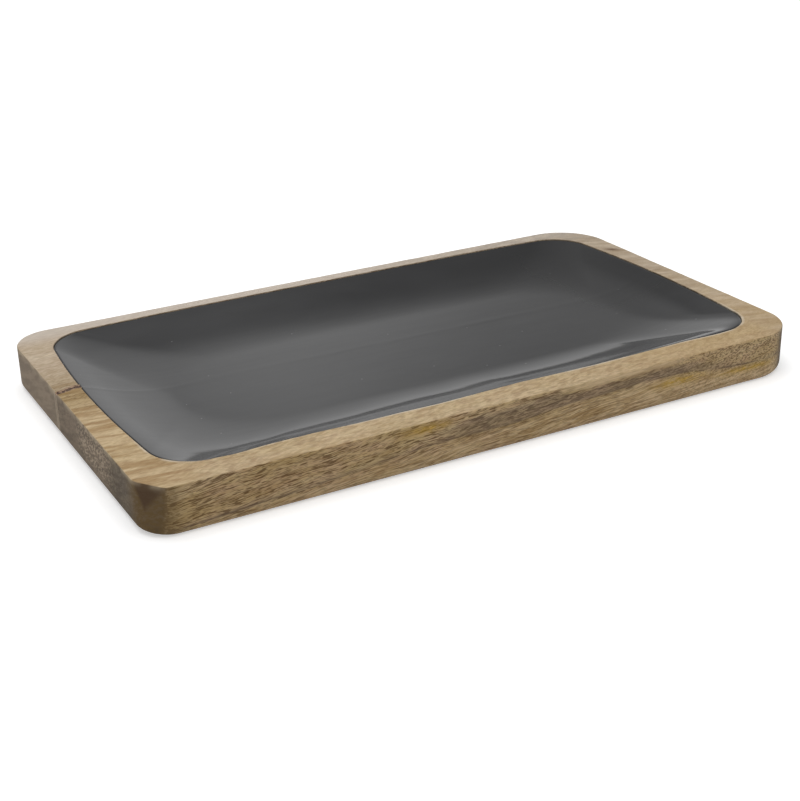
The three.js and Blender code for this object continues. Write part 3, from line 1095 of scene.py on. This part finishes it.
def face_zones(graph, grain):
    """Zones of the front face: a dark line wanders along it, the wood is plainer below that,
    and greyer heartwood lies above its right half, with pale wood over the heartwood."""
    on_face = (1 - grain.on_top) * graph.smooth(grain.y, *FRONT_FACE_Y)
    line = graph.curve((grain.x + LENGTH / 2) / LENGTH, FRONT_LINE) * HEIGHT
    above = grain.z - line + 2 * (grain.clouds - 0.5) + 1.2 * (grain.fibres - 0.5)
    below = (1 - graph.smooth(above, -3.5, -0.8)) * on_face
    over_heart = above - HEART_THICKNESS + HEART_THINNING * graph.smooth(grain.x, *HEART_THINS_X)
    heart = graph.smooth(above, -0.5, 1) * (1 - graph.smooth(over_heart, -1.5, 1.5)) * on_face
    heart = heart * graph.smooth(grain.x, *HEART_LEFT_X) * graph.smooth(grain.x, *HEART_RIGHT_X)
    pale_top = graph.smooth(over_heart, 0, 2) * on_face
    pale_top = pale_top * graph.smooth(grain.x, *PALE_TOP_LEFT_X)
    pale_top = pale_top * graph.smooth(grain.x, *PALE_TOP_RIGHT_X)
    return on_face, above, below, heart, pale_top


def front_figure(graph, grain):
    """The front plank's colour, with what its rims and its front face have of their own."""
    on_face, above, below, heart, pale_top = face_zones(graph, grain)
    grain.vessels = grain.vessels * (1 - 0.3 * graph.math("MAXIMUM", below, pale_top))
    golden = graph.smooth(grain.x, *GOLDEN_X) * graph.smooth(grain.y, *GOLDEN_Y)
    left_rim = graph.smooth(grain.x, *LEFT_RIM_X) * grain.on_top
    ribbons = graph.noise(grain.x / 40, (grain.y + 0.12 * grain.x) / 4.5, 0, detail=2)
    ribbons = graph.smooth(ribbons, 0.38, 0.62)
    fibres = graph.smooth(grain.fibres, 0.4, 0.6)
    lower_share = 0.15 + 0.45 * (1 - fibres) + 0.2 * graph.smooth(grain.x, *LOWER_PALER_X)
    yellow = 0
    for x, half_length, z, half_height in YELLOW_PATCHES:
        yellow = yellow + graph.bell(grain.x, x, half_length) * graph.bell(grain.z, z, half_height)
    yellow = yellow * (0.4 + 0.6 * (1 - grain.mottle)) * on_face
    yellow_marks = yellow * graph.math("MAXIMUM", grain.vessels, 0.6 * fibres)
    dark_line = graph.bell(above, 0, 0.45) * on_face
    dark_line = dark_line * graph.smooth(grain.streaks + grain.fibres, 0.4, 0.9)
    return graph.layers(right_rim(graph, grain, wood_colour(graph, grain, FRONT_SHADES)), (
        (golden * grain.on_top * 0.3, GOLDEN_WOOD),
        (left_rim * ribbons * 0.55, DARK_FRONT_WOOD),
        (left_rim * (1 - ribbons) * 0.35, PALE_FRONT_WOOD),
        (below * lower_share, LOWER_WOOD),
        (below * fibres * 0.35, DARK_FRONT_WOOD),
        (below * grain.vessels * 0.4, FRONT_VESSELS),
        (pale_top * (0.5 + 0.4 * (1 - fibres)), LOWER_WOOD),
        (heart * 0.5, HEART_WOOD),
        (heart * grain.mottle * 0.55, HEART_LINE),
        (yellow * 0.95, YELLOW_WOOD),
        (yellow_marks * 0.7, OLIVE_VESSELS),
        (dark_line * 0.7, HEART_LINE),
        (graph.bell(above, 0.3, 1.4) * on_face * 0.25, HEART_WOOD),
    ))


def front_end(graph, grain):
    """The front plank's end grain: speckled, then darker towards the corner."""
    speckled = graph.smooth(grain.y, *SPECKLED_FRONT_Y) * graph.smooth(grain.y, *SPECKLED_BACK_Y)
    speckled = (speckled + 0.15) * graph.smooth(grain.z, *SPECKLED_Z)
    return graph.layers(FRONT_END_GRAIN, (
        (graph.smooth(grain.y, *DARK_END_Y), DARK_END_GRAIN),
        (graph.smooth(grain.y, *DARK_CORNER_Y), CORNER_END_GRAIN),
        (grain.specks * speckled * 0.9, PALE_SPECKS),
    ))


def facet(graph, grain, colour):
    """The facet's dark triangle, wide at the rim and pointed below, over olive wood."""
    along_end = (grain.y + WIDTH / 2 - FACET_ALONG_END) * FACET_ALONG_END
    across_facet = ((grain.x + LENGTH / 2) * FACET_ALONG_FRONT - along_end) / FACET_WIDTH ** 2
    left_flank = across_facet / FACET_TIP
    right_flank = (1 - across_facet) / (1 - FACET_TIP)
    stain = graph.math("MINIMUM", left_flank, right_flank) * FACET_STAIN_DEPTH
    stain = stain - HEIGHT + grain.z + 3 * (grain.clouds - 0.5)
    stain = graph.smooth(stain, -3, 2) * (1 - grain.on_top)
    olive = graph.smooth(across_facet, -0.6, 0.2) * (1 - graph.smooth(across_facet, 0.95, 1.4))
    olive = olive * (1 - grain.on_top)
    return graph.layers(colour, (
        (olive * (0.85 - 0.3 * grain.specks), FACET_OLIVE),
        (stain * 0.9, FACET_WOOD),
    ))


def front_wood():
    material, graph = new_material("front_wood")
    grain = Grain(graph, 0.1, 12.3)
    colour = front_figure(graph, grain)
    colour = end_grain(graph, grain, colour, front_end(graph, grain))
    colour = facet(graph, grain, colour)
    wood_surface(graph, grain, joint_edge(graph, grain, colour))
    return material


def glue():
    material, graph = new_material("glue")
    x, y, z = graph.place()
    cloud = graph.noise(x / 3, y / 3, z / 3, detail=3)
    colour = graph.blend(graph.smooth(cloud, 0.4, 0.65), GLUE, DARK_BACK_WOOD)
    graph.surface(colour, 0.45 + 0.2 * cloud, graph.bump(cloud, 0.3, 0.1))
    return material


def filler():
    material, graph = new_material("filler")
    x, y, z = graph.place()
    grit = graph.noise(x / 1.3, y / 0.9, z / 0.9, detail=3)
    dark = graph.smooth(graph.attribute("core") + 3 * (grit - 0.5), 0.25, 0.75)
    colour = graph.blend(dark, PALE_FILLER, FILLER)
    graph.surface(colour, 0.6 + 0.2 * grit, graph.bump(grit, 0.5, 0.15))
    return material


def enamel():
    """Glossy enamel, less glossy towards the back right and with painted shade there, with
    grains of dust, and a painted highlight along the ridge over the joint near the left lip."""
    material, graph = new_material("enamel")
    x, y, z = graph.place()
    cloud = graph.noise(x / 45, y / 20, z / 20, detail=3)
    # Less glossy towards the back right, with painted shade there
    matte = graph.smooth(x, *MATTE_AND_SHADED_X) * graph.smooth(y, *MATTE_AND_SHADED_Y)
    dust = graph.specks(x, y, DUST_SPACING, DUST_RADIUS, DUST_SHARE)
    behind = y - JOINT_Y - math.tan(JOINT_SKEW) * x
    # A painted highlight along the ridge over the joint
    ridge_highlight = graph.bell(behind, 0.4, 0.7) * graph.smooth(x, *RIDGE_HIGHLIGHT_X)
    colour = graph.layers(ENAMEL, (
        (graph.smooth(cloud, 0.3, 0.7) * 0.25, CLOUDED_ENAMEL),
        (matte * 0.7, PAINTED_SHADE_ENAMEL),
        (dust * 0.6, DUST_AND_HIGHLIGHT_ENAMEL),
        (ridge_highlight * 0.16, DUST_AND_HIGHLIGHT_ENAMEL),
    ))
    brushing = graph.noise(x / 60, y / 6, z / 6, detail=2)
    height = 0.6 * brushing + 0.4 * graph.noise(x / 9, y / 9, z / 9, detail=1)
    roughness = 0.07 + 0.06 * cloud + 0.2 * matte
    graph.surface(colour, roughness, graph.bump(height, 0.25, 0.2))
    return material


# The stage

def ray_kinds(graph):
    """Wires that are 1 for rays from the camera, from a reflection and through glass."""
    path = graph.add("ShaderNodeLightPath")
    kinds = ("Is Camera Ray", "Is Glossy Ray", "Is Transmission Ray")
    return [Wire(graph, path.outputs[kind]) for kind in kinds]


def make_floor():
    """A pale floor that shows white, and still holds the board's shadow."""
    mesh = bpy.data.meshes.new("floor")
    corners = [(x * FLOOR_REACH, y * FLOOR_REACH, 0) for x, y in CORNER_SIGNS]
    mesh.from_pydata(corners, [], [(0, 1, 2, 3)])
    floor = make_object("floor", mesh)
    floor.location.z = cad_box[0].z - FLOOR_GAP
    material, graph = new_material("floor")
    x, y, _ = graph.split(graph.add("ShaderNodeTexCoord").outputs["Object"])
    away = graph.math("SQRT", x * x + y * y)
    shine = FLOOR_GLOW + FAR_GLOW * graph.smooth(away, *FAR_FLOOR)
    camera, glossy, through = ray_kinds(graph)
    seen = graph.math("MAXIMUM", camera, graph.math("MAXIMUM", glossy, through))
    diffuse = graph.wire("ShaderNodeBsdfDiffuse", {"Color": linear(FLOOR)})
    glow = graph.wire("ShaderNodeEmission", {"Strength": seen * shine})
    graph.show(graph.add("ShaderNodeAddShader", {0: diffuse, 1: glow}))
    mesh.materials.append(material)


def make_world():
    """An even sky for lighting, and a room that reflections show: brighter along the horizon,
    at its right end and high up, with a tall pale panel on the right."""
    world = bpy.data.worlds.new("studio")
    bpy.context.scene.world = world
    world.use_nodes = True
    graph = Graph(world.node_tree)
    x, _, z = graph.split(graph.add("ShaderNodeTexCoord").outputs["Generated"])
    horizon = graph.smooth(z, *HORIZON_Z)
    side = graph.smooth(x, *SIDE_X) * graph.smooth(z, *SIDE_Z)
    upper = graph.smooth(z, *UPPER_Z) * (1 - UPPER_FADE * graph.smooth(x, *UPPER_FADES_X))
    panel = graph.smooth(x, *PANEL_LEFT_X) * graph.smooth(x + PANEL_LEAN * z, *PANEL_RIGHT_X)
    panel = panel * (PANEL_FOOT + (1 - PANEL_FOOT) * graph.smooth(z, *PANEL_FOOT_Z))
    panel = panel * (1 - PANEL_HEAD_FADE * graph.smooth(z, *PANEL_HEAD_Z))
    reflected = ROOM + HORIZON * horizon + PANEL * panel + SIDE_GLOW * side + UPPER_GLOW * upper
    camera, glossy, through = ray_kinds(graph)
    strength = SKY + glossy * (reflected - SKY)
    strength = strength + graph.math("MAXIMUM", camera, through) * (BACKDROP - strength)
    background = graph.add("ShaderNodeBackground", {"Strength": strength})
    graph.show(background, "ShaderNodeOutputWorld")


def make_lamp():
    """A broad soft lamp overhead."""
    lamp = bpy.data.lights.new("soft_lamp", "AREA")
    lamp.size = LAMP_SIZE
    lamp.energy = LAMP_POWER
    holder = bpy.data.objects.new("soft_lamp", lamp)
    holder.location = LAMP_PLACE
    holder.visible_glossy = False
    bpy.context.scene.collection.objects.link(holder)


def make_camera():
    forward = Vector(CAMERA_FORWARD).normalized()
    right = Vector(CAMERA_DOWN).cross(forward).normalized()
    up = right.cross(forward)
    turn = Matrix((right, up, -forward)).transposed()
    camera = bpy.data.cameras.new("camera")
    camera.lens = CAMERA_LENS
    holder = bpy.data.objects.new("camera", camera)
    holder.matrix_world = Matrix.Translation(CAMERA_PLACE) @ turn.to_4x4()
    bpy.context.scene.collection.objects.link(holder)
    bpy.context.scene.camera = holder


make_camera()
make_world()
make_lamp()
make_floor()

board = board_mesh()
groove = filler_groove()
half_glue = GLUE_THICKNESS / 2
pieces = (
    ("back_stave_wood", back_wood(), "back_wood", "back_stave", half_glue, None),
    ("front_stave_wood", front_wood(), "front_wood", "front_stave", None, -half_glue),
    ("glue_film", glue(), "glue", "glue_line", -half_glue, half_glue),
)
for name, material, slot, node, nearest, farthest in pieces:
    mesh = cut_away(slice_board(board, nearest, farthest), groove)
    add_piece(name, mesh, material, node)
bpy.data.objects.remove(groove)
add_piece("seam_filler_strip", filler_mesh(), filler(), "seam_filler")
add_piece("enamel_coat", enamel_mesh(), enamel(), "enamel_lining")

bpy.context.scene.view_settings.view_transform = "Standard"
